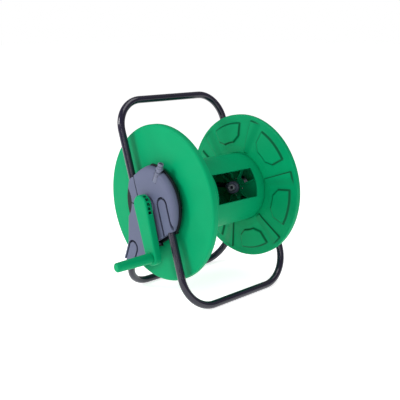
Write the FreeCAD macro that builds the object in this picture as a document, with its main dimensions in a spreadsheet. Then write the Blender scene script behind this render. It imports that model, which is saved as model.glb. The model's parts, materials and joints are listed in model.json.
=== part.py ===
"""Free-standing garden hose reel on a bent-tube stand.

Frame: the origin is on the ground under the middle of the reel, +Z is up, the reel turns about X,
the crank is at -X and -Y is the front, where the drum's window looks at rest. Millimetres.
Most pieces are drawn about the reel's own axis and lifted to its height by their Placement.
"""
import FreeCAD, Part
import math
import os
import re
import Sketcher
from FreeCAD import Placement, Rotation, Vector

DIMENSIONS = {
    # reel
    "hub_height": 211.0,
    "flange_radius": 165.0,
    "flange_inner": 118.0,
    "flange_outer": 131.5,
    "flange_root": 110.0,
    "flange_wall": 3.0,
    "flange_panels": 6,
    "drum_radius": 78.0,
    "drum_wall": 3.0,
    "window_start": -32.0,
    "window_end": 87.0,
    "window_angle": 20.0,
    "window_opening": 50.0,
    "web_face": 97.0,
    # tube stand
    "tube_radius": 8.0,
    "tube_wall": 1.2,
    "stand_half_width": 150.5,
    "handle_tilt": 19.0,
    "handle_reach": 116.3,
    "handle_rise": 204.0,
    "handle_plug": 26.0,
    "handle_bend": 64.0,
    "front_tilt": 18.4,
    "front_reach": 115.0,
    "front_plug": 10.0,
    "front_bend": 71.0,
    "rear_tilt": 22.0,
    "rear_reach": 94.7,
    "rear_plug": -102.0,
    "rear_bend": 60.0,
    # side brackets
    "bracket_radius": 83.0,
    "bracket_back": 147.7,
    "bracket_face": 160.0,
    "bracket_round": 11.0,
    "leg_round": 6.0,
    "bracket_wall": 3.0,
    "plate_radius": 86.5,
    "plate_back": 143.0,
    "bracket_cut_turn": 33.5,
    "handle_cut": 73.0,
    "front_cut": 73.5,
    "plate_cut": 79.0,
    "hub_face": 165.0,
    "boss_half_width": 11.5,
    "groove_width": 5.0,
    "fit_gap": 0.15,
    "handle_mouth": 24.0,
    "front_mouth": 64.0,
    "rear_mouth": 43.0,
    "waist_radius": 45.0,
    "waist_across": 100.0,
    "waist_up": -4.0,
    # axles and water way
    "journal_radius": 12.0,
    "running_gap": 0.05,
    "bush_radius": 16.0,
    "swivel_radius": 10.0,
    "water_bore": 3.8,
    "inlet_angle": 68.0,
    "inlet_plane": 154.5,
    "port_plane": 156.6,
    "inlet_channel": 4.6,
    "inlet_radius": 7.6,
    # crank
    "crank_radius": 105.0,
    "crank_angle": -72.3,
    "crank_half_width": 20.5,
    "crank_end_half_width": 16.5,
    "crank_back": 166.0,
    "crank_face": 181.0,
    "crank_overrun": 5.0,
    "crank_pin_plane": 172.0,
    "grip_end": 267.0,
    "grip_radius": 9.7,
    "grip_root_radius": 11.2,
    "spindle_radius": 4.0,
    "arm_wall": 3.0,
    "pin_radius": 1.5,
    # outlet and pipe inside the drum
    "outlet_tilt": 25.0,
    "outlet_base": 97.0,
    "pipe_radius": 5.5,
    "pipe_drop": 48.0,
    "pipe_bend": 15.0,
    "pipe_turn": -69.0,
    "pipe_port": 91.0,
    # screws
    "screw_radius": 1.8,
    "screw_head_radius": 3.4,
    "screw_head_height": 2.3,
    "pilot_gap": 0.05,
    "screw_gap": 0.3,
}

doc = FreeCAD.newDocument("HoseReel")
sheet = doc.addObject("Spreadsheet::Sheet", "Dimensions")
for row, (name, number) in enumerate(DIMENSIONS.items(), start=1):
    sheet.set(f"A{row}", name)
    sheet.set(f"B{row}", str(number))
    sheet.setAlias(f"B{row}", name)
doc.recompute()

PIECES = []


# ---------------------------------------------------------------- helpers

def bound(formula):
    """Turn each dimension's name in a formula into a reference to its cell."""
    return re.sub(
        r"[A-Za-z_]+",
        lambda word: f"Dimensions.{word.group()}" if word.group() in DIMENSIONS else word.group(),
        str(formula),
    )


def amount(formula):
    """The present value of a formula, for the first placing of sketch geometry."""
    value = sheet.evalExpression(bound(formula))
    return float(getattr(value, "Value", value))


def bind(thing, **formulas):
    """Bind properties of an object to formulas of the sheet's dimensions."""
    for path, formula in formulas.items():
        thing.setExpression(path, bound(formula))


def place(thing, along="0", across="0", up="0", turn="0", about=(1, 0, 0)):
    """Set a Placement from formulas; every one is measured from the reel's axis."""
    thing.Placement = Placement(Vector(0, 0, 0), Rotation(Vector(*about), 1.0))
    for path, formula in (
        ("Placement.Base.x", along),
        ("Placement.Base.y", across),
        ("Placement.Base.z", f"hub_height + {up}"),
        ("Placement.Rotation.Angle", turn),
    ):
        thing.setExpression(path, bound(formula))


def new_body(name):
    body = doc.addObject("PartDesign::Body", name)
    body.Label = name
    place(body)
    PIECES.append(body)
    return body


def origin_feature(body, role):
    return next(item for item in body.Origin.OriginFeatures if item.Role == role)


def new_sketch(body, name, plane, height="0", x="0", y="0", turn="0"):
    """A sketch on one of the body's origin planes, lifted, shifted and turned by formulas."""
    sketch = body.newObject("Sketcher::SketchObject", name)
    sketch.AttachmentSupport = [(origin_feature(body, plane), "")]
    sketch.MapMode = "FlatFace"
    sketch.AttachmentOffset = Placement(Vector(0, 0, 0), Rotation(Vector(0, 0, 1), 1.0))
    for path, formula in (
        ("AttachmentOffset.Base.x", x),
        ("AttachmentOffset.Base.y", y),
        ("AttachmentOffset.Base.z", height),
        ("AttachmentOffset.Rotation.Angle", turn),
    ):
        sketch.setExpression(path, bound(formula))
    return sketch


def pin_point(sketch, index, end, x, y):
    """Hold one sketch point at the place that two formulas give."""
    for kind, formula in (("DistanceX", x), ("DistanceY", y)):
        number = sketch.addConstraint(
            Sketcher.Constraint(kind, -1, 1, index, end, amount(formula))
        )
        sketch.setExpression(f"Constraints[{number}]", bound(formula))


def polygon(sketch, points):
    """Draw a closed outline through points given as pairs of formulas."""
    corners = [Vector(amount(x), amount(y), 0) for x, y in points]
    for index, corner in enumerate(corners):
        after = corners[(index + 1) % len(corners)]
        sketch.addGeometry(Part.LineSegment(corner, after), False)
    for index, (x, y) in enumerate(points):
        before = (index - 1) % len(points)
        sketch.addConstraint(Sketcher.Constraint("Coincident", before, 2, index, 1))
        pin_point(sketch, index, 1, x, y)


def circle(sketch, radius, x="0", y="0"):
    """Draw a circle whose centre and radius are formulas."""
    centre = Vector(amount(x), amount(y), 0)
    index = sketch.addGeometry(Part.Circle(centre, Vector(0, 0, 1), amount(radius)), False)
    number = sketch.addConstraint(Sketcher.Constraint("Radius", index, amount(radius)))
    sketch.setExpression(f"Constraints[{number}]", bound(radius))
    pin_point(sketch, index, 3, x, y)


def tongue(sketch, half_width, length):
    """Draw a round end about the origin with straight sides along +y to a square end."""
    near = amount(half_width)
    reach = amount(length)
    corners = [Vector(near, 0, 0), Vector(near, reach, 0), Vector(-near, reach, 0), Vector(-near, 0, 0)]
    for here, after in zip(corners, corners[1:]):
        sketch.addGeometry(Part.LineSegment(here, after), False)
    base = Part.Circle(Vector(), Vector(0, 0, 1), near)
    sketch.addGeometry(Part.ArcOfCircle(base, math.pi, 2 * math.pi), False)
    for kind, first in (("Coincident", 0), ("Coincident", 1), ("Tangent", 2), ("Tangent", 3)):
        sketch.addConstraint(Sketcher.Constraint(kind, first, 2, (first + 1) % 4, 1))
    pin_point(sketch, 0, 2, half_width, length)
    pin_point(sketch, 1, 2, f"-({half_width})", length)
    pin_point(sketch, 3, 3, "0", "0")
    number = sketch.addConstraint(Sketcher.Constraint("Radius", 3, near))
    sketch.setExpression(f"Constraints[{number}]", bound(half_width))


def slot(sketch, half_width, length, end_half_width):
    """Draw two round ends, about the origin and along +y, joined by tapering sides."""
    near = amount(half_width)
    reach = amount(length)
    far = amount(end_half_width)
    lean = math.asin((near - far) / reach)
    outward = Vector(math.cos(lean), math.sin(lean), 0)
    mirrored = Vector(-outward.x, outward.y, 0)
    top = Vector(0, reach, 0)
    sketch.addGeometry(Part.LineSegment(outward * near, top + outward * far), False)
    sketch.addGeometry(
        Part.ArcOfCircle(Part.Circle(top, Vector(0, 0, 1), far), lean, math.pi - lean), False
    )
    sketch.addGeometry(Part.LineSegment(top + mirrored * far, mirrored * near), False)
    base = Part.Circle(Vector(), Vector(0, 0, 1), near)
    sketch.addGeometry(Part.ArcOfCircle(base, math.pi - lean, 2 * math.pi + lean), False)
    for index in range(4):
        sketch.addConstraint(Sketcher.Constraint("Tangent", index, 2, (index + 1) % 4, 1))
    pin_point(sketch, 1, 3, "0", length)
    pin_point(sketch, 3, 3, "0", "0")
    for index, formula in ((1, end_half_width), (3, half_width)):
        number = sketch.addConstraint(Sketcher.Constraint("Radius", index, amount(formula)))
        sketch.setExpression(f"Constraints[{number}]", bound(formula))


def revolve(body, name, points, angle="360", start=None, cut=False):
    """Turn an outline of (along X, radius) formulas about the reel's axis."""
    kind = "PartDesign::Groove" if cut else "PartDesign::Revolution"
    sketch = new_sketch(body, f"{name}_outline", "XY_Plane")
    if start is not None:
        sketch.AttachmentOffset = Placement(Vector(0, 0, 0), Rotation(Vector(1, 0, 0), 1.0))
        sketch.setExpression("AttachmentOffset.Rotation.Angle", bound(start))
    polygon(sketch, points)
    feature = body.newObject(kind, name)
    feature.Profile = sketch
    feature.ReferenceAxis = (origin_feature(body, "X_Axis"), [""])
    bind(feature, Angle=angle)
    return feature


def pad(body, name, sketch, length, reverse=False, cut=False):
    """Extrude a sketch along +X, or along -X when reversed, as a Pad or a Pocket."""
    feature = body.newObject("PartDesign::Pocket" if cut else "PartDesign::Pad", name)
    feature.Profile = sketch
    bind(feature, Length=length)
    feature.Reversed = reverse
    return feature


def round_edges(body, name, feature, radius, wanted):
    """Fillet those edges of a feature that the wanted function picks."""
    doc.recompute()
    edges = [
        f"Edge{number}" for number, edge in enumerate(feature.Shape.Edges, start=1) if wanted(edge)
    ]
    fillet = body.newObject("PartDesign::Fillet", name)
    fillet.Base = (feature, edges)
    bind(fillet, Radius=radius)
    return fillet


def polar(body, name, features, count):
    """Repeat features about the reel's axis."""
    pattern = body.newObject("PartDesign::PolarPattern", name)
    pattern.Originals = features
    pattern.Axis = (origin_feature(body, "X_Axis"), [""])
    pattern.Angle = 360
    bind(pattern, Occurrences=count)
    body.Tip = pattern
    return pattern


def rod(body, name, radius, length, start, direction, cut=False):
    """A straight round piece or bore from a start point along a direction."""
    kind = "Subtractive" if cut else "Additive"
    feature = body.newObject(f"PartDesign::{kind}Cylinder", name)
    bind(feature, Radius=radius, Height=length)
    feature.Placement = Placement(start, Rotation(Vector(0, 0, 1), direction))


def turned(name, points):
    """A plain turned piece about the reel's axis."""
    body = new_body(name)
    revolve(body, "turning", points)
    return body


def group(name, solids):
    """Several separate solids that share one node and are lifted together."""
    compound = doc.addObject("Part::Compound", name)
    compound.Label = name
    compound.Links = solids
    place(compound)
    PIECES.append(compound)


# ---------------------------------------------------------------- tube stand

def bent_tube(name, across, up, tilt, length, bend):
    """One steel tube bent into a U: two equal legs and a bar along X that joins them.

    It is drawn flat, with its legs along +Y, and turned about X by tilt.
    """
    body = new_body(name)
    place(body, across=across, up=up, turn=tilt)
    path = new_sketch(body, "path", "XY_Plane")
    half = amount("stand_half_width")
    reach = amount(length)
    corner = amount(bend)
    left = Vector(corner - half, reach - corner, 0)
    right = Vector(half - corner, reach - corner, 0)
    path.addGeometry(Part.LineSegment(Vector(-half, 0, 0), Vector(-half, left.y, 0)), False)
    path.addGeometry(
        Part.ArcOfCircle(Part.Circle(left, Vector(0, 0, 1), corner), math.pi / 2, math.pi), False
    )
    path.addGeometry(Part.LineSegment(Vector(left.x, reach, 0), Vector(right.x, reach, 0)), False)
    path.addGeometry(
        Part.ArcOfCircle(Part.Circle(right, Vector(0, 0, 1), corner), 0, math.pi / 2), False
    )
    path.addGeometry(Part.LineSegment(Vector(half, right.y, 0), Vector(half, 0, 0)), False)
    for first, end, after_end in ((0, 2, 2), (1, 1, 1), (2, 2, 2), (3, 1, 1)):
        path.addConstraint(Sketcher.Constraint("Tangent", first, end, first + 1, after_end))
    pin_point(path, 0, 1, "-stand_half_width", "0")
    pin_point(path, 4, 2, "stand_half_width", "0")
    pin_point(path, 1, 3, f"({bend}) - stand_half_width", f"({length}) - ({bend})")
    pin_point(path, 3, 3, f"stand_half_width - ({bend})", f"({length}) - ({bend})")
    number = path.addConstraint(Sketcher.Constraint("Radius", 1, corner))
    path.setExpression(f"Constraints[{number}]", bound(bend))
    section = new_sketch(body, "section", "XZ_Plane")
    circle(section, "tube_radius", x="-stand_half_width")
    circle(section, "tube_radius - tube_wall", x="-stand_half_width")
    pipe = body.newObject("PartDesign::AdditivePipe", "bent_pipe")
    pipe.Profile = section
    pipe.Spine = (path, [f"Edge{number}" for number in range(1, 6)])


HANDLE_FOOT = "(handle_reach - (handle_rise - handle_plug) * tan(handle_tilt))"
FRONT_DROP = "(front_plug + hub_height - tube_radius)"
REAR_DROP = "(rear_plug + hub_height - tube_radius)"
FRONT_HEAD = f"(front_reach - {FRONT_DROP} * tan(front_tilt))"
REAR_HEAD = f"(rear_reach - {REAR_DROP} * tan(rear_tilt))"

bent_tube(
    "handle_tube", HANDLE_FOOT, "handle_plug", "90 - handle_tilt",
    "(handle_rise - handle_plug) / cos(handle_tilt)", "handle_bend",
)
bent_tube(
    "front_leg_tube", f"-{FRONT_HEAD}", "front_plug", "270 - front_tilt",
    f"{FRONT_DROP} / cos(front_tilt)", "front_bend",
)
bent_tube(
    "rear_leg_tube", REAR_HEAD, "rear_plug", "270 + rear_tilt",
    f"{REAR_DROP} / cos(rear_tilt)", "rear_bend",
)


# ---------------------------------------------------------------- side brackets

SIDES = {"crank": -1, "far": 1}

# Each socket: where its tube starts, the turn that lays a sketch's +y along the tube, how far along
# the tube its mouth lies, and the boss over it: half its width, the groove round it and how far it
# runs past the tube's inner end.
SOCKETS = {
    "handle": (HANDLE_FOOT, "handle_plug", "(-handle_tilt)", "handle_mouth", "15", "2.5", "14"),
    "front": (
        f"-{FRONT_HEAD}", "front_plug", "(180 - front_tilt)", "front_mouth", "boss_half_width",
        "groove_width", "0",
    ),
    "rear": (
        REAR_HEAD, "rear_plug", "(180 + rear_tilt)", "rear_mouth", "boss_half_width", "groove_width", "0",
    ),
}

# Outlines across and up, about the reel's axis: the leg over the rear leg's tube, its cavity and the
# flat at the disc's rear.
LEG_OUTLINE = (
    ("50", "-10"), ("70.5", "-24"), ("74", "-95"), ("86", "-135.5"), ("54", "-148.5"), ("10", "-118"),
    ("-22", "-78"), ("-22", "-40"),
)
LEG_CAVITY = (("50", "-30"), ("66", "-40"), ("66", "-80"), ("30", "-108"), ("0", "-84"), ("0", "-45"))
REAR_FLAT = (("63", "64"), ("66.5", "25"), ("70.5", "-24"), ("71", "-30"), ("100", "-30"), ("100", "64"))
PILLARS = (("-60", "36"), ("26", "62"), ("-12", "-64"), ("30", "-60"))
PILOT = "screw_radius + pilot_gap"
SCREW_HOLE = "screw_radius + screw_gap"

# The hose connector points up and forward from the reel's axis on the crank side.
INLET_ANGLE = math.radians(amount("inlet_angle"))
INLET_WAY = Vector(0, -math.cos(INLET_ANGLE), math.sin(INLET_ANGLE))
INLET_CENTRE = Vector(-amount("inlet_plane"), 0, 0)


def side_profile(side, points):
    """Mirror an outline of (along X, radius) formulas to one side of the reel."""
    return [(f"{side} * ({x})", radius) for x, radius in points]


def socket_sketch(body, name, side, socket, height, along="0"):
    """A sketch across the bracket with its +y along one tube, starting near the tube's inner end."""
    across, up, turn = SOCKETS[socket][:3]
    return new_sketch(
        body, name, "YZ_Plane", height=f"{side} * ({height})",
        x=f"{across} - ({along}) * sin({turn})", y=f"{up} + ({along}) * cos({turn})", turn=turn,
    )


def tube_bores(body, side):
    """Cut the bores that the three tube ends plug into."""
    for socket, (across, up, turn, mouth, *_) in SOCKETS.items():
        angle = math.radians(amount(turn))
        foot = Vector(side * amount("stand_half_width"), amount(across), amount(up))
        way = Vector(0, -math.sin(angle), math.cos(angle))
        rod(body, f"{socket}_bore", "tube_radius + fit_gap", f"{mouth} + 60", foot - way * 0.5, way, cut=True)


def outward_pad(body, name, sketch, side, length, cut=False):
    """Extrude a sketch away from the reel's middle, as a Pad or a Pocket."""
    return pad(body, name, sketch, length, reverse=(side > 0) == cut, cut=cut)


def round_pad(body, name, side, height, length, radius, x="0", y="0", cut=False):
    """A round pad or pocket that starts at a height on one side of the reel and runs outward."""
    sketch = new_sketch(body, f"{name}_outline", "YZ_Plane", height=f"{side} * ({height})")
    circle(sketch, radius, x=x, y=y)
    outward_pad(body, name, sketch, side, length, cut)


def drill(body, name, side, places, radius, height, length):
    """A hole that runs outward from a height at each place across and up."""
    for number, (across, up) in enumerate(places, start=1):
        round_pad(body, f"{name}_{number}", side, height, length, radius, across, up, cut=True)


def straight_cut(body, name, side, turn, reach, low, high):
    """Cut the disc off square to a direction, beyond a reach from the reel's axis."""
    cut = new_sketch(body, f"{name}_outline", "YZ_Plane", height=f"{side} * (plate_back - 4)", turn=turn)
    polygon(cut, ((low, reach), (high, reach), (high, "130"), (low, "130")))
    outward_pad(body, name, cut, side, "30", cut=True)


def domed_edge():
    """Points round the disc's domed edge, from its side to its face."""
    points = []
    for step in range(9):
        turn = math.radians(step * 90 / 8)
        along = f"bracket_face - bracket_round * {1 - math.sin(turn):.4f}"
        points.append((along, f"bracket_radius - bracket_round * {1 - math.cos(turn):.4f}"))
    return points


def side_bracket(where):
    """The moulded bracket of one side: a domed disc with a leg, and a boss over each tube end."""
    side = SIDES[where]
    body = new_body(f"{where}_side_bracket")
    deep = "(bracket_face - bracket_back)"
    leg = new_sketch(body, "leg_outline", "YZ_Plane", height=f"{side} * bracket_back")
    polygon(leg, LEG_OUTLINE)
    moulding = outward_pad(body, "leg", leg, side, deep)
    face = side * amount("bracket_face")
    round_edges(body, "leg_edge", moulding, "leg_round", lambda edge: abs(edge.CenterOfMass.x - face) < 0.1)
    revolve(body, "disc", side_profile(side, (
        ("bracket_face", "0"), ("bracket_back", "0"), ("bracket_back", "bracket_radius"), *domed_edge(),
    )))
    hollow = f"{deep} - bracket_wall"
    narrow = "bracket_radius - bracket_round - 1"
    round_pad(body, "wide_cavity", side, "bracket_back", "4", "bracket_radius - bracket_wall", cut=True)
    round_pad(body, "deep_cavity", side, "bracket_back", hollow, narrow, cut=True)
    cavity = new_sketch(body, "leg_cavity_outline", "YZ_Plane", height=f"{side} * bracket_back")
    polygon(cavity, LEG_CAVITY)
    outward_pad(body, "leg_cavity", cavity, side, hollow, cut=True)

    round_pad(body, "hub", side, "bracket_back", "hub_face - bracket_back", "bush_radius + 4")
    for number, (across, up) in enumerate(PILLARS, start=1):
        round_pad(body, f"pillar_{number}", side, "bracket_back", f"{deep} - 1.5", "5", across, up)
    for socket, (_, _, _, mouth, half_width, groove_width, overrun) in SOCKETS.items():
        block = socket_sketch(body, f"{socket}_block_outline", side, socket, "bracket_back", f"-{overrun}")
        tongue(block, f"{half_width} + {groove_width} + bracket_wall", f"{mouth} + {overrun}")
        outward_pad(body, f"{socket}_block", block, side, f"{deep} - 1")
    for socket, (_, _, _, mouth, half_width, groove_width, overrun) in SOCKETS.items():
        groove = socket_sketch(
            body, f"{socket}_groove_outline", side, socket, "bracket_face - 7", f"-{overrun}"
        )
        tongue(groove, f"{half_width} + {groove_width}", f"{mouth} + {overrun} + 20")
        outward_pad(body, f"{socket}_groove", groove, side, "8", cut=True)
        boss = socket_sketch(body, f"{socket}_boss_outline", side, socket, "bracket_face - 10", f"-{overrun}")
        tongue(boss, half_width, f"{mouth} + {overrun}")
        outward_pad(body, f"{socket}_boss", boss, side, "9.8")
    round_pad(
        body, "waist", side, "bracket_back", deep, "waist_radius", x="waist_across", y="waist_up", cut=True
    )
    flat = new_sketch(body, "rear_flat_outline", "YZ_Plane", height=f"{side} * bracket_back")
    polygon(flat, REAR_FLAT)
    outward_pad(body, "rear_flat", flat, side, deep, cut=True)
    revolve(body, "rim_trim", side_profile(side, (
        ("bracket_back - 1", "bracket_radius"), *domed_edge(),
        ("bracket_face + 5", "bracket_radius - bracket_round"), ("bracket_face + 5", "140"),
        ("bracket_back - 1", "140"),
    )), angle="232", start="10", cut=True)
    straight_cut(body, "handle_end", side, "-bracket_cut_turn", "handle_cut", "-50", "50")
    straight_cut(body, "front_end", side, "180 - bracket_cut_turn", "front_cut", "-21", "60")
    tube_bores(body, side)
    hub_floor = "hub_face - bracket_back - bracket_wall + 1"
    round_pad(body, "hub_bore", side, "bracket_back", hub_floor, "bush_radius + 0.1", cut=True)
    hub_depth = "hub_face - bracket_back"
    round_pad(body, "shaft_hole", side, "bracket_back", hub_depth, "journal_radius + 0.6", cut=True)
    drill(body, "pilot", side, PILLARS, PILOT, "bracket_back", "10")
    if where == "crank":
        cut_inlet(body)


def cut_inlet(body):
    """Clear the inlet's pipe inside the bracket and its socket at the rim."""
    rod(body, "inlet_channel", "inlet_channel", "54", INLET_CENTRE + INLET_WAY * 12, INLET_WAY, cut=True)
    rod(body, "inlet_hole", "inlet_radius + 0.4", "40", INLET_CENTRE + INLET_WAY * 57.5, INLET_WAY, cut=True)


def back_plate(where):
    """The flat plate that closes the bracket's back, with a saddle behind each tube end."""
    side = SIDES[where]
    body = new_body(f"{where}_side_back_plate")
    thick = "bracket_back - 0.1 - plate_back"
    round_pad(body, "disc", side, "plate_back", thick, "plate_radius")
    leg = new_sketch(body, "leg_outline", "YZ_Plane", height=f"{side} * plate_back")
    polygon(leg, LEG_OUTLINE)
    outward_pad(body, "leg", leg, side, thick)
    for socket, (_, _, _, mouth, *_) in SOCKETS.items():
        saddle = socket_sketch(body, f"{socket}_saddle_outline", side, socket, "plate_back - 3")
        tongue(saddle, "tube_radius + 2.5", mouth)
        outward_pad(body, f"{socket}_saddle", saddle, side, "3.5")
    straight_cut(body, "handle_end", side, "-bracket_cut_turn", "handle_cut", "-50", "50")
    straight_cut(body, "front_end", side, "180 - bracket_cut_turn", "plate_cut", "-21", "60")
    tube_bores(body, side)
    round_pad(body, "bush_seat", side, "plate_back", thick, "bush_radius + 0.1", cut=True)
    drill(body, "screw_hole", side, PILLARS, SCREW_HOLE, "plate_back", thick)
    if where == "crank":
        cut_inlet(body)


for where in SIDES:
    side_bracket(where)
    back_plate(where)


# ---------------------------------------------------------------- bearings and water way

def ring(name, radius, section, along):
    """A rubber ring about the reel's axis."""
    torus = doc.addObject("Part::Torus", name)
    torus.Placement = Placement(Vector(), Rotation(Vector(0, 1, 0), 90))
    torus.setExpression("Placement.Base.x", bound(along))
    bind(torus, Radius1=radius, Radius2=section)
    return torus


JOURNAL = "journal_radius"
AXLE_SEAT = "(web_face + 6.2)"
AXLE_FLANGE = "(web_face + 9)"
FLANGE_SCREWS = (("60", "0"), ("0", "60"), ("-60", "0"), ("0", "-60"))
AXLE_SCREWS = (("19.5", "0"), ("0", "19.5"), ("-19.5", "0"), ("0", "-19.5"))

for where, side in SIDES.items():
    turned(f"{where}_side_bush", side_profile(side, (
        ("141", f"{JOURNAL} + running_gap"), ("141", "bush_radius + 3"), ("142.9", "bush_radius + 3"),
        ("142.9", "bush_radius"), ("150", "bush_radius"), ("150", f"{JOURNAL} + running_gap"),
    )))

GROOVE_FLOOR = "swivel_radius - 2.5"
DRIVE = "swivel_radius - 2"
water_axle = turned("water_axle", (
    ("-88", "pipe_radius + 0.1"), ("-88", JOURNAL), (f"-{AXLE_SEAT}", JOURNAL), (f"-{AXLE_SEAT}", "24"),
    (f"-{AXLE_FLANGE}", "24"), (f"-{AXLE_FLANGE}", JOURNAL), ("-149.8", JOURNAL), ("-149.8", "swivel_radius"),
    ("-151.2", "swivel_radius"), ("-151.2", GROOVE_FLOOR), ("-153.8", GROOVE_FLOOR),
    ("-153.8", "swivel_radius"), ("-159.4", "swivel_radius"), ("-159.4", GROOVE_FLOOR),
    ("-162", GROOVE_FLOOR), ("-162", "swivel_radius"), ("-164.2", "swivel_radius"), ("-164.2", DRIVE),
    ("-177.5", DRIVE), ("-177.5", "2.6"), ("-165", "2.6"), ("-165", "0"), ("-158.5", "0"),
    ("-158.5", "water_bore"), ("-99", "water_bore"), ("-99", "pipe_radius + 0.1"),
))
rod(
    water_axle, "water_ports", "1.6", "swivel_radius * 2 + 4",
    Vector(-amount("port_plane"), 0, -amount("swivel_radius") - 2), Vector(0, 0, 1), cut=True,
)
drill(water_axle, "flange_hole", -1, AXLE_SCREWS, SCREW_HOLE, AXLE_SEAT, "4")
group("swivel_seals", [
    ring("inner_seal", "swivel_radius - 1.25", "1.15", "-152.5"),
    ring("outer_seal", "swivel_radius - 1.25", "1.15", "-160.7"),
])
far_axle = turned("far_axle", (
    (AXLE_SEAT, "0"), (AXLE_SEAT, "24"), (AXLE_FLANGE, "24"), (AXLE_FLANGE, JOURNAL), ("151", JOURNAL),
    ("151", f"{JOURNAL} - 1.5"), ("152.6", f"{JOURNAL} - 1.5"), ("152.6", JOURNAL), ("157", JOURNAL),
    ("158", f"{JOURNAL} - 1"), ("158", "0"),
))
drill(far_axle, "flange_hole", 1, AXLE_SCREWS, SCREW_HOLE, AXLE_SEAT, "4")
turned("far_axle_clip", (
    ("151.1", f"{JOURNAL} - 1.4"), ("151.1", "15.2"), ("152.5", "15.2"), ("152.5", f"{JOURNAL} - 1.4"),
))
turned("far_side_cap", (
    ("160", "0"), ("160", f"{JOURNAL} + 0.3"), ("165.3", f"{JOURNAL} + 0.3"), ("165.3", "19"),
    ("167", "18"), ("168.5", "12"), ("169", "0"),
))

SWIVEL_BORE = "swivel_radius + running_gap"
inlet_body = turned("inlet_body", (
    ("-150.4", SWIVEL_BORE), ("-150.4", "bush_radius - 0.1"), ("-162.7", "bush_radius - 0.1"),
    ("-162.7", SWIVEL_BORE), ("-159", SWIVEL_BORE), ("-159", "12.4"), ("-154.2", "12.4"),
    ("-154.2", SWIVEL_BORE),
))
for name, radius, start, end, cut in (
    ("inlet_pipe", "inlet_channel - 0.3", 14, 70, False), ("inlet_socket", "inlet_radius", 58, 71, False),
    ("inlet_bore", "3.2", 11, 73, True), ("thread_bore", "6", 60, 73, True),
):
    rod(inlet_body, name, radius, str(end - start), INLET_CENTRE + INLET_WAY * start, INLET_WAY, cut)


def connector(name, base):
    """A click-fit hose nipple along X: a screwed stem, a ribbed collar, a latching ring and a nose."""
    nipple = turned(name, (
        ("0", "4"), ("0", "5.9"), ("10", "5.9"), ("10.2", base), ("18", base), ("19.5", "5.2"),
        ("24", "5.2"), ("25", "7.6"), ("28", "7.6"), ("29.5", "6"), ("32.5", "6"), ("32.5", "4.9"),
        ("35", "4.9"), ("35", "6"), ("38", "6"), ("39", "5.2"), ("39", "4"),
    ))
    notch = new_sketch(nipple, "rib_outline", "YZ_Plane", height="18.5")
    circle(notch, "0.9", x=f"{base} + 0.2")
    cut = pad(nipple, "rib_groove", notch, "7.5", cut=True)
    polar(nipple, "rib_grooves", [cut], "16")
    return nipple


def along_inlet(piece, distance):
    """Turn a piece drawn along +X to point out along the inlet, a distance from the reel's axis."""
    place(
        piece, along="-inlet_plane", across=f"-({distance}) * cos(inlet_angle)",
        up=f"({distance}) * sin(inlet_angle)", turn="90", about=(0, -INLET_WAY.z, INLET_WAY.y),
    )


inlet_connector = connector("inlet_connector", "inlet_radius")
along_inlet(inlet_connector, "61.2")
inlet_seal = turned("inlet_seal", (
    ("0", "4.2"), ("0", "5.8"), ("1", "5.8"), ("1", "4.2"),
))
along_inlet(inlet_seal, "60.1")


# ---------------------------------------------------------------- reel

STEP_ANGLE = 159.0


def flange(where, side):
    """A hollow moulded disc with a turned rim: a smooth outer wall and a panelled inner wall."""
    name = {"crank": "near_flange", "far": "far_flange"}[where]
    body = new_body(name)
    wall = revolve(body, "walls", side_profile(side, (
        ("flange_root", "drum_radius + 0.4"), ("flange_root", "95"), ("flange_inner", "150"),
        ("flange_inner", "flange_radius"), ("flange_outer", "flange_radius"), ("flange_outer", "73"),
        ("116", "70"), ("116", "27"), ("113.1", "27"), ("113.1", "73.5"),
        ("flange_outer - flange_wall", "76.5"),
        ("flange_outer - flange_wall", "flange_radius - flange_wall"),
        ("flange_inner + flange_wall", "flange_radius - flange_wall"),
        ("flange_inner + flange_wall", "150.4"),
        ("flange_root + flange_wall", "95.4"), ("flange_root + flange_wall", "drum_radius + 0.4"),
    )))
    rim = amount("flange_radius")
    outer = side * amount("flange_outer")
    inner = side * amount("flange_inner")

    def is_rim_edge(edge, x):
        return abs(edge.BoundBox.XMin - x) < 0.01 and abs(edge.BoundBox.ZLength - 2 * rim) < 0.1

    rounded = round_edges(body, "outer_round", wall, "4.5", lambda edge: is_rim_edge(edge, outer))
    round_edges(body, "inner_round", rounded, "1.5", lambda edge: is_rim_edge(edge, inner))
    panel = revolve(body, "panel", side_profile(side, (
        ("flange_root + 1.6", "102"), ("flange_inner - 0.4", "147"), ("flange_inner - 2.2", "145.5"),
        ("flange_root - 0.3", "103.5"),
    )), angle="35", start=f"{STEP_ANGLE} + 14")
    polar(body, "panels", [panel], "flange_panels")
    spoke = revolve(body, "spoke", side_profile(side, (
        ("flange_root + 0.5", "82"), ("flange_root + 0.5", "95"), ("flange_inner + 0.5", "150"),
        ("flange_inner + 0.5", "158"), ("flange_inner - 1.4", "156"), ("flange_inner - 1.4", "149.5"),
        ("flange_root - 1.4", "95"), ("flange_root - 1.4", "84"),
    )), angle="13", start=STEP_ANGLE)
    polar(body, "spokes", [spoke], "flange_panels")
    drill(body, "screw_hole", side, FLANGE_SCREWS, SCREW_HOLE, "112", "5")


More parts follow.
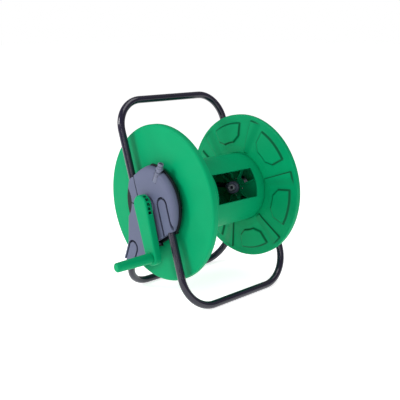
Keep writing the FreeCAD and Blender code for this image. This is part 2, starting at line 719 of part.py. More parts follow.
def hub_web(where, side):
    """The wheel-like web inside one end of the drum, which carries an axle."""
    name = {"crank": "near_hub_web", "far": "far_hub_web"}[where]
    body = new_body(name)
    rim = "drum_radius - drum_wall - 0.3"
    revolve(body, "wheel", side_profile(side, (
        ("web_face + 1.1", f"{JOURNAL} + 0.1"), ("web_face + 1.1", "18"), ("web_face + 3", "18"),
        ("web_face + 3", "71.5"),
        ("web_face", "71.5"), ("web_face", rim), ("112.8", rim), ("112.8", "71.5"),
        ("web_face + 6", "71.5"), ("web_face + 6", f"{JOURNAL} + 0.1"),
    )))
    opening = revolve(body, "opening", side_profile(side, (
        ("web_face + 2", "26"), ("web_face + 2", "67"), ("web_face + 7", "67"), ("web_face + 7", "26"),
    )), angle="38", start="26", cut=True)
    polar(body, "openings", [opening], "4")
    for number, start in enumerate(("23", "64"), start=1):
        rib = revolve(body, f"rib_{number}", side_profile(side, (
            ("web_face - 5", "23"), ("web_face + 3.5", "17"), ("web_face + 3.5", "71.8"),
            ("web_face", "71.8"),
        )), angle="3", start=start)
        polar(body, f"ribs_{number}", [rib], "4")
    for number, (across, up) in enumerate(FLANGE_SCREWS, start=1):
        round_pad(body, f"pillar_{number}", side, "web_face + 5", "107.8 - web_face", "4.5", across, up)
    drill(body, "pilot", side, FLANGE_SCREWS, PILOT, "web_face + 5", "12")
    drill(body, "axle_pilot", side, AXLE_SCREWS, PILOT, "web_face", "8")


drum = turned("drum", (
    ("-112.9", "drum_radius - drum_wall"), ("-112.9", "drum_radius"), ("112.9", "drum_radius"),
    ("112.9", "drum_radius - drum_wall"),
))
revolve(drum, "window", (
    ("window_start", "drum_radius - 6"), ("window_start", "drum_radius + 2"),
    ("window_end", "drum_radius + 2"), ("window_end", "drum_radius - 6"),
), angle="window_opening", start="180 - window_angle - window_opening / 2", cut=True)

for where, side in SIDES.items():
    flange(where, side)
    hub_web(where, side)


# ---------------------------------------------------------------- outlet inside the drum

WINDOW_TURN = math.radians(amount("window_angle"))
OUTLET_TURN = math.radians(amount("outlet_tilt"))


def towards_window(piece, distance):
    """Lean a piece drawn along +X so that it points back along the reel and out of the window."""
    place(
        piece, along=f"outlet_base - ({distance}) * cos(outlet_tilt)",
        across=f"-({distance}) * sin(outlet_tilt) * cos(window_angle)",
        up=f"({distance}) * sin(outlet_tilt) * sin(window_angle)",
        turn="180 + outlet_tilt", about=(0, math.sin(WINDOW_TURN), math.cos(WINDOW_TURN)),
    )


OUTLET_WAY = Vector(
    -math.cos(OUTLET_TURN), -math.sin(OUTLET_TURN) * math.cos(WINDOW_TURN),
    math.sin(OUTLET_TURN) * math.sin(WINDOW_TURN),
)
OUTLET_BASE = Vector(amount("outlet_base"), 0, 0)
PORT_PLACE = Vector(amount("pipe_port"), 0, 0)
REAR = Vector(0, 1, 0)
outlet_elbow = turned("outlet_elbow", (
    ("86", "0"), ("86", "6"), ("93", "11.8"), ("web_face + 6", "11.8"), ("web_face + 6", "0"),
))
for name, radius, length, start, way, cut in (
    ("port", "pipe_radius + 1.3", "16", PORT_PLACE + REAR * 4, REAR, False),
    ("spout", "8.9", "18.5", OUTLET_BASE, OUTLET_WAY, False),
    ("port_bore", "water_bore", "21", PORT_PLACE, REAR, True),
    ("port_socket", "pipe_radius + 0.1", "12", PORT_PLACE + REAR * 12, REAR, True),
    ("spout_bore", "water_bore", "20", OUTLET_BASE, OUTLET_WAY, True),
):
    rod(outlet_elbow, name, radius, length, start, way, cut)

outlet_nut = turned("outlet_nut", (
    ("10.5", "9"), ("10.5", "12.5"), ("11.5", "14"), ("18.5", "14"), ("20.5", "12.5"),
    ("20.5", "7.6"), ("18.9", "7.6"), ("18.9", "9"),
))
knurl = new_sketch(outlet_nut, "knurl_outline", "YZ_Plane", height="11")
circle(knurl, "0.8", x="14")
polar(outlet_nut, "knurls", [pad(outlet_nut, "knurl", knurl, "8")], "20")
towards_window(outlet_nut, "0")
outlet_nose = turned("outlet_nose", (
    ("18.6", "4.6"), ("18.6", "8.8"), ("18.8", "8.8"), ("18.8", "7.4"), ("24.5", "7.4"),
    ("24.5", "6.2"), ("26.1", "6.2"), ("26.1", "7.4"), ("27.5", "7.4"), ("28.3", "6.6"),
    ("28.3", "4.6"),
))
towards_window(outlet_nose, "0")
outlet_seal = new_body("outlet_seal")
seal_section = new_sketch(outlet_seal, "ring_section", "XY_Plane")
circle(seal_section, "0.65", x="25.3", y="6.9")
seal_ring = outlet_seal.newObject("PartDesign::Revolution", "ring")
seal_ring.Profile = seal_section
seal_ring.ReferenceAxis = (origin_feature(outlet_seal, "X_Axis"), [""])
seal_ring.Angle = 360
towards_window(outlet_seal, "0")

crossover_pipe = new_body("crossover_pipe")
path = new_sketch(crossover_pipe, "path", "XY_Plane")
ROUTE = (
    ("-98.9", "0"), ("pipe_turn", "0"), ("pipe_turn", "pipe_drop"),
    ("pipe_port", "pipe_drop"), ("pipe_port", "12.1"),
)


def square_route(sketch, points, bend):
    """Draw a route of runs along the sketch's axes, joined by quarter arcs of one radius."""
    corners = [Vector(amount(x), amount(y), 0) for x, y in points]
    radius = amount(bend)
    ways = [(after - here).normalize() for here, after in zip(corners, corners[1:])]
    lines = []
    for index, way in enumerate(ways):
        trims = ("0" if index == 0 else bend, "0" if way is ways[-1] else bend)
        start = corners[index] + way * amount(trims[0])
        end = corners[index + 1] - way * amount(trims[1])
        line = sketch.addGeometry(Part.LineSegment(start, end), False)
        across, up = round(way.x), round(way.y)
        here, after = points[index], points[index + 1]
        pin_point(sketch, line, 1, f"{here[0]} + {across} * {trims[0]}", f"{here[1]} + {up} * {trims[0]}")
        pin_point(sketch, line, 2, f"{after[0]} - {across} * {trims[1]}", f"{after[1]} - {up} * {trims[1]}")
        lines.append(line)
    for index, (way, later) in enumerate(zip(ways, ways[1:])):
        start = corners[index + 1] - way * radius
        end = corners[index + 1] + later * radius
        centre = start + later * radius
        left = way.cross(later).z > 0
        first, second = (start, end) if left else (end, start)
        arc = sketch.addGeometry(Part.ArcOfCircle(
            Part.Circle(centre, Vector(0, 0, 1), radius),
            math.atan2(first.y - centre.y, first.x - centre.x),
            math.atan2(second.y - centre.y, second.x - centre.x),
        ), False)
        near, far = (1, 2) if left else (2, 1)
        sketch.addConstraint(Sketcher.Constraint("Coincident", lines[index], 2, arc, near))
        sketch.addConstraint(Sketcher.Constraint("Coincident", lines[index + 1], 1, arc, far))
        number = sketch.addConstraint(Sketcher.Constraint("Radius", arc, radius))
        sketch.setExpression(f"Constraints[{number}]", bound(bend))


square_route(path, ROUTE, "pipe_bend")
section = new_sketch(crossover_pipe, "section", "YZ_Plane", height="-98.9")
circle(section, "pipe_radius")
circle(section, "water_bore")
pipe = crossover_pipe.newObject("PartDesign::AdditivePipe", "bent_pipe")
pipe.Profile = section
pipe.Spine = (path, [f"Edge{number}" for number in range(1, 8)])


# ---------------------------------------------------------------- crank

ARM_TURN = "(90 - crank_angle)"
ARM_LENGTH = "crank_radius + crank_overrun"
ARM_END = "crank_end_half_width"
ARM_DEPTH = "crank_face - crank_back"
SPINDLE = "spindle_radius"
SPINDLE_HEAD = "7"


def arm_sketch(name, height="crank_back", turn="0"):
    """A sketch across the crank: its origin is the hub end's centre and +y runs to the grip."""
    return new_sketch(
        crank_arm, f"{name}_outline", "YZ_Plane", height=f"-({height})",
        x="crank_overrun * sin(90 - crank_angle)", y="-crank_overrun * cos(90 - crank_angle)",
        turn=f"{ARM_TURN} + {turn}",
    )


def arm_round(name, radius, along, length, cut=False):
    """A round pad or pocket from the crank's back towards its face."""
    sketch = arm_sketch(name)
    circle(sketch, radius, y=along)
    outward_pad(crank_arm, name, sketch, -1, length, cut)


crank_arm = new_body("crank_arm")
outline = arm_sketch("arm")
slot(outline, "crank_half_width", ARM_LENGTH, ARM_END)
arm = outward_pad(crank_arm, "arm", outline, -1, ARM_DEPTH)
face = -amount("crank_face")
round_edges(crank_arm, "arm_round", arm, "3.5", lambda edge: abs(edge.CenterOfMass.x - face) < 0.1)
hollow = arm_sketch("hollow")
slot(hollow, "crank_half_width - arm_wall", ARM_LENGTH, f"{ARM_END} - arm_wall")
outward_pad(crank_arm, "hollow", hollow, -1, f"{ARM_DEPTH} - arm_wall", cut=True)
arm_round("hub_boss", "12.5", "crank_overrun", f"{ARM_DEPTH} - arm_wall + 0.5")
arm_round("spindle_boss", "9", ARM_LENGTH, f"{ARM_DEPTH} - arm_wall + 0.5")

# Small windows through one side wall, the first round the hub end's curve and then along the arm.
WINDOW = 6.0
WALL_TURNS = ((-48, -WINDOW / 2), (-24, -WINDOW / 2), (0, -1.0), (0, 7.5), (0, 16.0))
for number, (turn, low) in enumerate(WALL_TURNS, start=1):
    opening = arm_sketch(f"side_window_{number}", "crank_back + arm_wall", turn)
    polygon(opening, (
        ("crank_half_width - 5", low), ("crank_half_width + 2", low),
        ("crank_half_width + 2", low + WINDOW), ("crank_half_width - 5", low + WINDOW),
    ))
    outward_pad(crank_arm, f"side_window_{number}", opening, -1, "8", cut=True)
arm_round("drive_hole", f"{DRIVE} + 0.05", "crank_overrun", f"{ARM_DEPTH} - arm_wall + 0.4", cut=True)
arm_round("spindle_hole", f"{SPINDLE} + 0.05", ARM_LENGTH, f"{ARM_DEPTH} + 1", cut=True)
arm_round("spindle_seat", f"{SPINDLE_HEAD} + 0.1", ARM_LENGTH, "4.6", cut=True)

# A pin across the arm's hub locks it to the axle.
PIN_TURN = math.radians(amount(ARM_TURN))
PIN_WAY = Vector(0, math.cos(PIN_TURN), math.sin(PIN_TURN))
PIN_CENTRE = Vector(-amount("crank_pin_plane"), 0, 0)
for body in (crank_arm, water_axle):
    rod(body, "pin_hole", "pin_radius + 0.05", "40", PIN_CENTRE - PIN_WAY * 20, PIN_WAY, cut=True)
crank_pin = new_body("crank_pin")
rod(crank_pin, "pin", "pin_radius", "24", PIN_CENTRE - PIN_WAY * 12, PIN_WAY)

GRIP_BORE = "spindle_radius + running_gap"
CAP_PLUG = "7.5"
for name, points in (
    ("grip_spindle", (
        ("-168.5", "0"), ("-168.5", SPINDLE_HEAD), ("-170.5", SPINDLE_HEAD), ("-170.5", SPINDLE),
        ("-(grip_end - 13)", SPINDLE), ("-(grip_end - 12)", f"{SPINDLE} - 0.8"), ("-(grip_end - 12)", "0"),
    )),
    ("spindle_clip", (
        ("-(grip_end - 16.8)", SPINDLE), ("-(grip_end - 16.8)", "7"), ("-(grip_end - 15.6)", "7"),
        ("-(grip_end - 15.6)", SPINDLE),
    )),
    ("crank_grip", (
        ("-181.4", GRIP_BORE), ("-181.4", "grip_root_radius - 1"), ("-183", "grip_root_radius"),
        ("-188", "grip_root_radius - 0.1"), ("-(grip_end - 2.5)", "grip_radius"),
        ("-(grip_end - 1)", "grip_radius - 1"), ("-(grip_end - 1)", f"{CAP_PLUG} + 0.1"),
        ("-(grip_end - 18)", f"{CAP_PLUG} + 0.1"), ("-(grip_end - 18)", GRIP_BORE),
    )),
    ("grip_end_cap", (
        ("-(grip_end - 7)", "0"), ("-(grip_end - 7)", CAP_PLUG), ("-(grip_end - 0.9)", CAP_PLUG),
        ("-(grip_end - 0.9)", "grip_radius - 1.1"), ("-(grip_end - 0.3)", "grip_radius - 2"),
        ("-grip_end", "grip_radius - 4"), ("-grip_end", "0"),
    )),
):
    piece = turned(name, points)
    place(piece, across="-crank_radius * cos(crank_angle)", up="crank_radius * sin(crank_angle)")


# ---------------------------------------------------------------- fasteners

def screw(name, along, across, up, shank, turn):
    """A pan-head screw with a cross recess, its head's underside at the place given."""
    body = doc.addObject("PartDesign::Body", name)
    revolve(body, "screw", (
        ("-screw_head_height", "0"), ("-screw_head_height", "screw_head_radius - 1"),
        ("-screw_head_height + 1", "screw_head_radius"), ("0", "screw_head_radius"),
        ("0", "screw_radius"), (f"{shank} - 1.5", "screw_radius"), (shank, "0.5"), (shank, "0"),
    ))
    for index, (width, height) in enumerate((("0.8", "3.4"), ("3.4", "0.8"))):
        recess = new_sketch(body, f"recess_outline_{index}", "YZ_Plane", height="-screw_head_height + 1.2")
        polygon(recess, [(f"{y} * {width} / 2", f"{z} * {height} / 2") for y, z in (
            (1, 1), (-1, 1), (-1, -1), (1, -1),
        )])
        pad(body, f"recess_{index}", recess, "2", cut=True)
    body.Placement = Placement(Vector(), Rotation(Vector(0, 0, 1), turn))
    for path, formula in (("x", along), ("y", across), ("z", up)):
        body.setExpression(f"Placement.Base.{path}", bound(formula))
    return body


def screw_group(name, places, seat, shank, turn):
    """The same screw at several places, as one node; turn 180 points it along -X."""
    group(name, [
        screw(f"{name}_{number}", seat, across, up, shank, turn)
        for number, (across, up) in enumerate(places, start=1)
    ])


for where, side in SIDES.items():
    prefix = {"crank": "near", "far": "far"}[where]
    outward = 0 if side > 0 else 180
    inward = 180 - outward
    screw_group(f"{where}_side_plate_screws", PILLARS, f"{side} * (plate_back - 0.1)", "13", outward)
    screw_group(f"{prefix}_flange_screws", FLANGE_SCREWS, f"{side} * 116.1", "13", inward)
    screw_group(f"{prefix}_axle_screws", AXLE_SCREWS, f"{side} * ({AXLE_FLANGE} + 0.1)", "8", inward)


# ---------------------------------------------------------------- checks and files

def save_all():
    """Stop on any failed object or bad shape, then write one file per piece."""
    doc.recompute()
    for thing in doc.Objects:
        if "Invalid" in thing.State or "Error" in thing.State:
            raise RuntimeError(f"{thing.Name} ({thing.Label}) failed: {thing.State}")
    for piece in PIECES:
        if piece.Shape.isNull() or not piece.Shape.isValid() or not piece.Shape.Solids:
            raise RuntimeError(f"{piece.Label} has no valid solid")
    os.makedirs("parts", exist_ok=True)
    for piece in PIECES:
        piece.Shape.exportStep(f"parts/{piece.Label}.step")
        volume = piece.Shape.Volume / 1000
        print(f"{piece.Label}: {len(piece.Shape.Solids)} solid(s), {volume:.1f} cm3")


save_all()
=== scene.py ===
"""Looks of a free-standing garden hose reel: a green moulded reel with a crank on a bent-tube stand."""
import json
import math

import bmesh
import bpy
import numpy as np
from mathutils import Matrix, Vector


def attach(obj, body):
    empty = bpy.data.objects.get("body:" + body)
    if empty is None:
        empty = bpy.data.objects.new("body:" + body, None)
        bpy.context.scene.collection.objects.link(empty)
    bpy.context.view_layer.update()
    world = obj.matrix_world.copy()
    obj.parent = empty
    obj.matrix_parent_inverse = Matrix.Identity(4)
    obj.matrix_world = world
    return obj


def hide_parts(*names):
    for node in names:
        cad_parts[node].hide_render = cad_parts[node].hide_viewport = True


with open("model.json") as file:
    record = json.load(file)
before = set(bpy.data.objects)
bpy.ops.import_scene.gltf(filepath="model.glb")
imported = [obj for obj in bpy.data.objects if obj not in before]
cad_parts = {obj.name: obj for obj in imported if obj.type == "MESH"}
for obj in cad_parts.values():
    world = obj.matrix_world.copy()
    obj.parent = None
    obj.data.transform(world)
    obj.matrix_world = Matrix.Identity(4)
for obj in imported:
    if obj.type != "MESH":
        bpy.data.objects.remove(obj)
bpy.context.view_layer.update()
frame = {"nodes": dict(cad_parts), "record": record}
NODES = frame["nodes"]

HUB = 0.211          # height of the reel's axis
FLANGE_STEP = 21.0   # degrees from the front, upward, to the first step of the flange's pattern
SECTOR = 60.0        # degrees per repeat of that pattern

MOTTLE = 0.06            # how far moulded colour drifts either way
RUBBED_PALER = 0.22      # how far rubbed edges go towards white
GRAIN_SCALE = 2600.0
GRAIN_DEPTH = 0.00003
# Painted shade in narrow grooves: the reach of the occlusion test, and the darker colour as a share of
# the base colour.
PAINTED_GROOVE_SHADE_REACH = 0.006     # how near a wall must be for a groove to get painted shade in its colour
PAINTED_GROOVE_SHADE_TONE = 0.12
# Painted shade at the flanges' relief steps: the darker colour as a share of the flange's colour.
PAINTED_STEP_SHADE_TONE = 0.22


# ---------------------------------------------------------------- materials

def new_material(name):
    material = bpy.data.materials.new(name)
    material.use_nodes = True
    tree = material.node_tree
    shader = tree.nodes["Principled BSDF"]
    return material, tree, shader


def add(tree, kind, **values):
    """Add a shader node; a value goes to the socket of that name, or to the node's own property."""
    node = tree.nodes.new(kind)
    for key, value in values.items():
        socket = key.replace("_", " ").title() if key not in node.inputs else key
        if socket in node.inputs:
            node.inputs[socket].default_value = value
        else:
            setattr(node, key, value)
    return node


def scaled(tree, source, low, high, from_low=0.3, from_high=0.7):
    """Map a texture's value from one range to another, clamped."""
    node = add(tree, "ShaderNodeMapRange", from_min=from_low, from_max=from_high, to_min=low, to_max=high)
    tree.links.new(source, node.inputs["Value"])
    return node.outputs["Result"]


def noise(tree, place, scale, detail=3.0, distortion=0.0):
    node = add(tree, "ShaderNodeTexNoise", scale=scale, detail=detail, distortion=distortion)
    tree.links.new(place, node.inputs["Vector"])
    return node.outputs["Fac"]


def edge_mask(tree, radius):
    """1 on edges and 0 on flats, with the softened normal beside it."""
    bevel = add(tree, "ShaderNodeBevel", samples=6, radius=radius)
    flat = add(tree, "ShaderNodeNewGeometry")
    dot = add(tree, "ShaderNodeVectorMath", operation="DOT_PRODUCT")
    tree.links.new(bevel.outputs["Normal"], dot.inputs[0])
    tree.links.new(flat.outputs["True Normal"], dot.inputs[1])
    mask = scaled(tree, dot.outputs["Value"], 1.0, 0.0, 0.80, 0.985)
    return mask, bevel.outputs["Normal"]


def tinted(color, factor):
    """A colour scaled by a factor, as a socket's value."""
    return (*[min(1, channel * factor) for channel in color], 1)


def darkened(tree, base, color, factor, amount):
    """Blend a base colour towards a darker shade of one colour, by an amount from 0 to 1."""
    blend = add(tree, "ShaderNodeMix", data_type="RGBA")
    blend.inputs[7].default_value = tinted(color, factor)
    tree.links.new(amount, blend.inputs[0])
    tree.links.new(base, blend.inputs[6])
    return blend.outputs[2]


def moulded(name, color, rough, wear, specular=0.5, edge=0.0009, painted_step_shade_amount=0.0, painted_groove_shade_amount=0.0):
    """Injection-moulded plastic: fine grain, faint flow marks, uneven gloss and paler rubbed edges.

    The step-shade amount paints shade into the colour at the steps of a mesh that carries step values,
    standing in for the shadow lines there. The groove-shade amount paints shade into the colour in narrow
    grooves.
    """
    material, tree, shader = new_material(name)
    place = add(tree, "ShaderNodeTexCoord").outputs["Object"]
    mask, soft_normal = edge_mask(tree, edge)

    flow = noise(tree, place, 9.0, 4.0, 0.6)
    shade = add(tree, "ShaderNodeMix", data_type="RGBA")
    shade.inputs[6].default_value = tinted(color, 1 - MOTTLE)
    shade.inputs[7].default_value = (*[min(1, c * (1 + MOTTLE) + MOTTLE * 0.01) for c in color], 1)
    tree.links.new(scaled(tree, flow, 0.0, 1.0), shade.inputs[0])
    worn = add(tree, "ShaderNodeMix", data_type="RGBA")
    worn.inputs[7].default_value = (*[c + (1 - c) * RUBBED_PALER for c in color], 1)
    scuff = noise(tree, place, 140.0, 5.0)
    amount = add(tree, "ShaderNodeMath", operation="MULTIPLY")
    tree.links.new(mask, amount.inputs[0])
    tree.links.new(scaled(tree, scuff, 0.0, wear, 0.35, 0.65), amount.inputs[1])
    tree.links.new(amount.outputs[0], worn.inputs[0])
    tree.links.new(shade.outputs[2], worn.inputs[6])
    surface = worn.outputs[2]
    # Painted shade: an occlusion test darkens the colour of what lies in narrow grooves, standing in for
    # the shade there.
    if painted_groove_shade_amount:
        nearby = add(tree, "ShaderNodeAmbientOcclusion", samples=8, distance=PAINTED_GROOVE_SHADE_REACH)
        painted_groove_shade_mask = scaled(tree, nearby.outputs["AO"], painted_groove_shade_amount, 0.0, 0.25, 0.85)
        surface = darkened(tree, surface, color, PAINTED_GROOVE_SHADE_TONE, painted_groove_shade_mask)
    # Painted shade: the colour is darkened where the relief's steps are steep, standing in for the shadow
    # lines at the steps.
    if painted_step_shade_amount:
        painted_step_shade = add(tree, "ShaderNodeAttribute", attribute_name="painted_step_shade").outputs["Fac"]
        painted_step_shade_mask = scaled(tree, painted_step_shade, 0.0, painted_step_shade_amount, 0.0, 1.0)
        surface = darkened(tree, surface, color, PAINTED_STEP_SHADE_TONE, painted_step_shade_mask)
    tree.links.new(surface, shader.inputs["Base Color"])

    gloss = noise(tree, place, 38.0, 6.0)
    tree.links.new(scaled(tree, gloss, rough - 0.06, rough + 0.08), shader.inputs["Roughness"])

    grains = noise(tree, place, GRAIN_SCALE, 2.0)
    bump = add(tree, "ShaderNodeBump", strength=0.6, distance=GRAIN_DEPTH)
    tree.links.new(grains, bump.inputs["Height"])
    tree.links.new(soft_normal, bump.inputs["Normal"])
    tree.links.new(bump.outputs["Normal"], shader.inputs["Normal"])
    shader.inputs["Specular IOR Level"].default_value = specular
    return material


def powder_coat(name, color):
    """Glossy powder coat on bent tube: slight orange peel and dulled patches."""
    material, tree, shader = new_material(name)
    place = add(tree, "ShaderNodeTexCoord").outputs["Object"]
    tone = noise(tree, place, 14.0, 4.0)
    shade = add(tree, "ShaderNodeMix", data_type="RGBA")
    shade.inputs[6].default_value = tinted(color, 0.85)
    shade.inputs[7].default_value = tinted(color, 1.2)
    tree.links.new(scaled(tree, tone, 0.0, 1.0), shade.inputs[0])
    tree.links.new(shade.outputs[2], shader.inputs["Base Color"])
    dull = noise(tree, place, 60.0, 6.0, 0.4)
    tree.links.new(scaled(tree, dull, 0.16, 0.26), shader.inputs["Roughness"])
    peel = noise(tree, place, 420.0, 2.0)
    bump = add(tree, "ShaderNodeBump", strength=0.5, distance=0.00006)
    tree.links.new(peel, bump.inputs["Height"])
    tree.links.new(bump.outputs["Normal"], shader.inputs["Normal"])
    shader.inputs["Specular IOR Level"].default_value = 0.25
    shader.inputs["Coat Weight"].default_value = 0.6
    shader.inputs["Coat Roughness"].default_value = 0.05
    return material


def plated(name, color, rough):
    """Zinc-plated steel with a drawn grain."""
    material, tree, shader = new_material(name)
    place = add(tree, "ShaderNodeTexCoord").outputs["Object"]
    mask, soft_normal = edge_mask(tree, 0.0003)
    tone = noise(tree, place, 220.0, 5.0)
    shade = add(tree, "ShaderNodeMix", data_type="RGBA")
    shade.inputs[6].default_value = tinted(color, 0.8)
    shade.inputs[7].default_value = tinted(color, 1)
    tree.links.new(scaled(tree, tone, 0.0, 1.0), shade.inputs[0])
    tree.links.new(shade.outputs[2], shader.inputs["Base Color"])
    tree.links.new(scaled(tree, tone, rough - 0.08, rough + 0.12), shader.inputs["Roughness"])
    bump = add(tree, "ShaderNodeBump", strength=0.4, distance=0.00002)
    tree.links.new(noise(tree, place, 1500.0, 2.0), bump.inputs["Height"])
    tree.links.new(soft_normal, bump.inputs["Normal"])
    tree.links.new(bump.outputs["Normal"], shader.inputs["Normal"])
    shader.inputs["Metallic"].default_value = 1.0
    return material


GREEN = (0.000, 0.305, 0.122)
GRIP_GREEN = (0.000, 0.300, 0.118)
FLANGE_GREEN = (0.000, 0.310, 0.122)
TUBE_NAVY = (0.008, 0.006, 0.022)
BRACKET_GREY = (0.108, 0.122, 0.198)
NEAR_BLACK = (0.003, 0.006, 0.008)
CONNECTOR_GREY = (0.13, 0.145, 0.22)
PALE_GREY = (0.42, 0.44, 0.52)
RUBBER = (0.012, 0.012, 0.013)
STEEL = (0.55, 0.56, 0.58)

MATERIALS = {
    "green_plastic": moulded("green_plastic", GREEN, 0.42, wear=0.10, specular=0.07),
    "grip_plastic": moulded("grip_plastic", GRIP_GREEN, 0.44, wear=0.10, specular=0.07),
    "tube_paint": powder_coat("tube_paint", TUBE_NAVY),
    # The bracket's grooves get painted shade in their colour.
    "bracket_plastic": moulded(
        "bracket_plastic", BRACKET_GREY, 0.46, wear=0.25, specular=0.2, painted_groove_shade_amount=0.9
    ),
    "black_plastic": moulded("black_plastic", NEAR_BLACK, 0.45, wear=0.05, specular=0.2),
    "connector_plastic": moulded("connector_plastic", CONNECTOR_GREY, 0.42, wear=0.5, edge=0.0004),
    "pale_plastic": moulded("pale_plastic", PALE_GREY, 0.40, wear=0.4, edge=0.0004),
    "seal_rubber": moulded("seal_rubber", RUBBER, 0.62, wear=0.1, edge=0.0003),
    "bright_steel": plated("bright_steel", STEEL, 0.32),
}
# The flanges' relief steps get painted shade in their colour.
FLANGE_PLASTIC = moulded(
    "flange_green", FLANGE_GREEN, 0.42, wear=0.10, specular=0.07, painted_step_shade_amount=0.92
)
for part in frame["record"]["subparts"]:
    node = NODES[part["node"]]
    for holder in node.material_slots:
        holder.material = MATERIALS[part["material_slot"]]


# ---------------------------------------------------------------- flanges

TURNS = 720            # points round each flange

# Faces along the axis and the rim's radius, in mm.
HUB_FACE = 116.0
OUTER_FACE = 131.5
INNER_FACE = 118.0
ROOT_FACE = 110.0
RIM = 165.0

# The raised panel of each sector: angles in degrees from the step, the rest in mm.
PANEL_START = 14.5
PANEL_END = 49.0
PANEL_INNER = 101.0
PANEL_OUTER = 148.0
PANEL_HEIGHT = 4.0
PANEL_FLANK = 4.5
CORNER_SLOPE = 0.62
CORNER_CUT = 9.0

# The raised spoke beside it, sharp on one side and fading out on the other.
SPOKE_WIDTH = 12.5
SPOKE_INNER = 82.0
SPOKE_OUTER = 157.5
SPOKE_HEIGHT = 3.2


def smooth(value):
    value = np.clip(value, 0.0, 1.0)
    return value * value * (3.0 - 2.0 * value)


def relief(radius, angle):
    """Height in mm of the moulded pattern on a flange's inner wall; angle in degrees from the step."""
    left = np.radians(angle - PANEL_START) * radius
    right = np.radians(PANEL_END - angle) * radius
    inner = radius - PANEL_INNER
    outer = PANEL_OUTER - radius
    corner_left = (left + inner) * CORNER_SLOPE - CORNER_CUT
    corner_right = (right + inner) * CORNER_SLOPE - CORNER_CUT
    inside = np.minimum.reduce([left, right, inner, outer, corner_left, corner_right])
    panel = PANEL_HEIGHT * smooth(inside / PANEL_FLANK)

    sharp_side = np.radians(angle) * radius / 1.2
    faded_side = np.radians(SPOKE_WIDTH - angle) * radius / 22.0
    foot = (radius - SPOKE_INNER) / 3.0
    tip = (SPOKE_OUTER - radius) / 3.0
    spoke = SPOKE_HEIGHT * smooth(np.minimum.reduce([sharp_side, faded_side, foot, tip]))
    return panel + spoke


def arc_points(x, radius, bend, start, end, count):
    """Points of a quarter turn in the flange's section, about a centre at (x, radius)."""
    return [
        (x + bend * math.cos(math.radians(a)), radius + bend * math.sin(math.radians(a)))
        for a in np.linspace(start, end, count)
    ]


def flange_section():
    """The flange's section as (x, radius, embossed), from the hub's outer face round to its bore."""
    hub = [(HUB_FACE, r) for r in (27.0, 34.0, 42.0, 50.0, 58.0, 64.0, 68.0)]
    dish = [(116.4, 70.0), (118.0, 71.0), (124.0, 71.9), (129.5, 72.7), (131.0, 73.4), (OUTER_FACE, 74.6)]
    outside = [(OUTER_FACE, r) for r in np.linspace(77.0, 158.0, 28)]
    outer_round = arc_points(OUTER_FACE - 4.5, RIM - 4.5, 4.5, 0, 90, 9)
    strip = [(124.0, RIM), (121.5, RIM)]
    inner_round = arc_points(INNER_FACE + 2.0, RIM - 2.0, 2.0, 90, 180, 6)
    border = [(INNER_FACE, r) for r in np.linspace(162.2, 151.0, 10)]
    cone = [(ROOT_FACE + 8.0 * (r - 95.0) / 55.0, r) for r in np.linspace(150.0, 96.0, 52)]
    root = [(ROOT_FACE, r) for r in np.linspace(95.0, 79.5, 12)]
    inside = [(110.3, 78.5), (113.0, 78.4), (113.0, 60.0), (113.0, 27.2), (114.5, 27.0)]
    section = [(*point, 0) for point in hub + dish + outside + outer_round + strip + inner_round]
    section += [(*point, 1) for point in border + cone + root]
    section += [(*point, 0) for point in inside]
    return np.array(section).T


def flange_mesh(name, side, node):
    """A turned disc with a softly embossed inner wall, on the reel's axis."""
    x, radius, embossed = flange_section()
    theta = np.linspace(0.0, 360.0, TURNS, endpoint=False)
    grid_r, grid_t = np.meshgrid(radius, theta)
    angle = np.mod(FLANGE_STEP - grid_t, SECTOR)
    height = relief(grid_r, angle) * embossed
    along = side * (x - height) / 1000.0
    across = -grid_r * np.cos(np.radians(grid_t)) / 1000.0
    up = grid_r * np.sin(np.radians(grid_t)) / 1000.0 + HUB
    points = np.stack([along, across, up], axis=-1).reshape(-1, 3)

    # Painted shade for the relief: the steeper the pattern's slope, the darker the flanges' colour is
    # painted there.
    round_slope = np.abs(np.gradient(height, axis=0)) / (np.radians(360.0 / TURNS) * grid_r)
    section_slope = np.abs(np.gradient(height, axis=1))
    painted_step_shade = np.clip(np.maximum(round_slope, section_slope) / 1.1, 0.0, 1.0) * embossed

    count = len(x)
    faces = []
    for turn in range(TURNS):
        here = turn * count
        after = (turn + 1) % TURNS * count
        for index in range(count):
            following = (index + 1) % count
            quad = (here + index, here + following, after + following, after + index)
            faces.append(quad if side > 0 else quad[::-1])
    mesh = bpy.data.meshes.new(name)
    mesh.from_pydata(points.tolist(), [], faces)
    mesh.validate()
    work = bmesh.new()
    work.from_mesh(mesh)
    bmesh.ops.recalc_face_normals(work, faces=work.faces)
    work.to_mesh(mesh)
    work.free()
    mesh.shade_smooth()
    mesh.materials.append(FLANGE_PLASTIC)
    values = mesh.attributes.new("painted_step_shade", "FLOAT", "POINT")
    values.data.foreach_set("value", painted_step_shade.reshape(-1))
    piece = bpy.data.objects.new(name, mesh)
    bpy.context.scene.collection.objects.link(piece)
    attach(piece, "reel")
    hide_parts(node)


flange_mesh("near_flange_skin", -1, "near_flange")
flange_mesh("far_flange_skin", 1, "far_flange")


# ---------------------------------------------------------------- studio

WHITE = (1.0, 1.0, 1.0, 1)
FLOOR_HALF_WIDTH = 40.0
FLOOR_GLOW = 0.74
ROOM_LIGHT = 0.30
CENTRE = (0.0, 0.0, HUB)


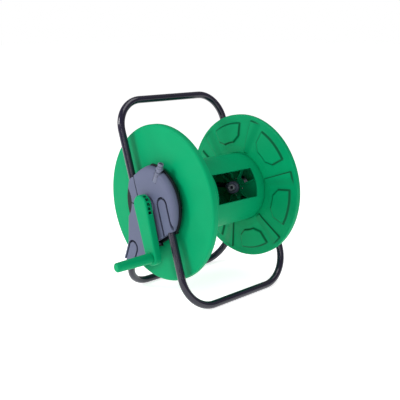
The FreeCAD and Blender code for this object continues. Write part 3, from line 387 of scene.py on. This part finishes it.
def lay_floor():
    """A plain floor that glows a little, so that it stays near white out to the horizon."""
    mesh = bpy.data.meshes.new("floor")
    work = bmesh.new()
    bmesh.ops.create_grid(work, x_segments=8, y_segments=8, size=FLOOR_HALF_WIDTH)
    work.to_mesh(mesh)
    work.free()
    material, _, shader = new_material("floor")
    shader.inputs["Base Color"].default_value = (0.90, 0.90, 0.90, 1)
    shader.inputs["Roughness"].default_value = 0.9
    shader.inputs["Emission Color"].default_value = WHITE
    shader.inputs["Emission Strength"].default_value = FLOOR_GLOW
    mesh.materials.append(material)
    floor = bpy.data.objects.new("floor", mesh)
    bpy.context.scene.collection.objects.link(floor)


def light_room():
    """A room that is plain white behind the object and lights it evenly and more dimly."""
    world = bpy.data.worlds.new("studio")
    world.use_nodes = True
    tree = world.node_tree
    background = tree.nodes["Background"]
    background.inputs["Color"].default_value = WHITE
    seen = add(tree, "ShaderNodeLightPath").outputs["Is Camera Ray"]
    tree.links.new(scaled(tree, seen, ROOM_LIGHT, 1.0, 0.0, 1.0), background.inputs["Strength"])
    bpy.context.scene.world = world
    bpy.context.scene.view_settings.view_transform = "Standard"


def area_light(name, place, size, power):
    """A rectangular light aimed at the reel's middle."""
    data = bpy.data.lights.new(name, "AREA")
    data.shape = "RECTANGLE"
    data.size, data.size_y = size
    data.energy = power
    lamp = bpy.data.objects.new(name, data)
    lamp.location = place
    lamp.rotation_euler = (Vector(CENTRE) - Vector(place)).to_track_quat("-Z", "Y").to_euler()
    bpy.context.scene.collection.objects.link(lamp)


def place_camera():
    data = bpy.data.cameras.new("camera")
    data.sensor_width = 36.0
    data.lens = 58.89
    data.shift_x = -0.0013
    data.shift_y = 0.0037
    data.clip_start = 0.05
    camera = bpy.data.objects.new("camera", data)
    camera.location = (-0.9648, -1.0265, HUB + 0.338)
    camera.rotation_euler = Vector((0.6593, 0.7109, -0.2450)).to_track_quat("-Z", "Y").to_euler()
    bpy.context.scene.collection.objects.link(camera)
    bpy.context.scene.camera = camera


lay_floor()
light_room()
area_light("key", (-2.0, 1.0, 1.45), (0.7, 0.7), 31.0)
area_light("fill", (-1.2, -2.2, 1.0), (1.6, 1.2), 5.0)
area_light("top", (0.2, -0.4, 2.2), (1.4, 1.4), 16.0)
area_light("strip", (-2.3, -1.3, 0.9), (0.09, 2.6), 11.0)
place_camera()
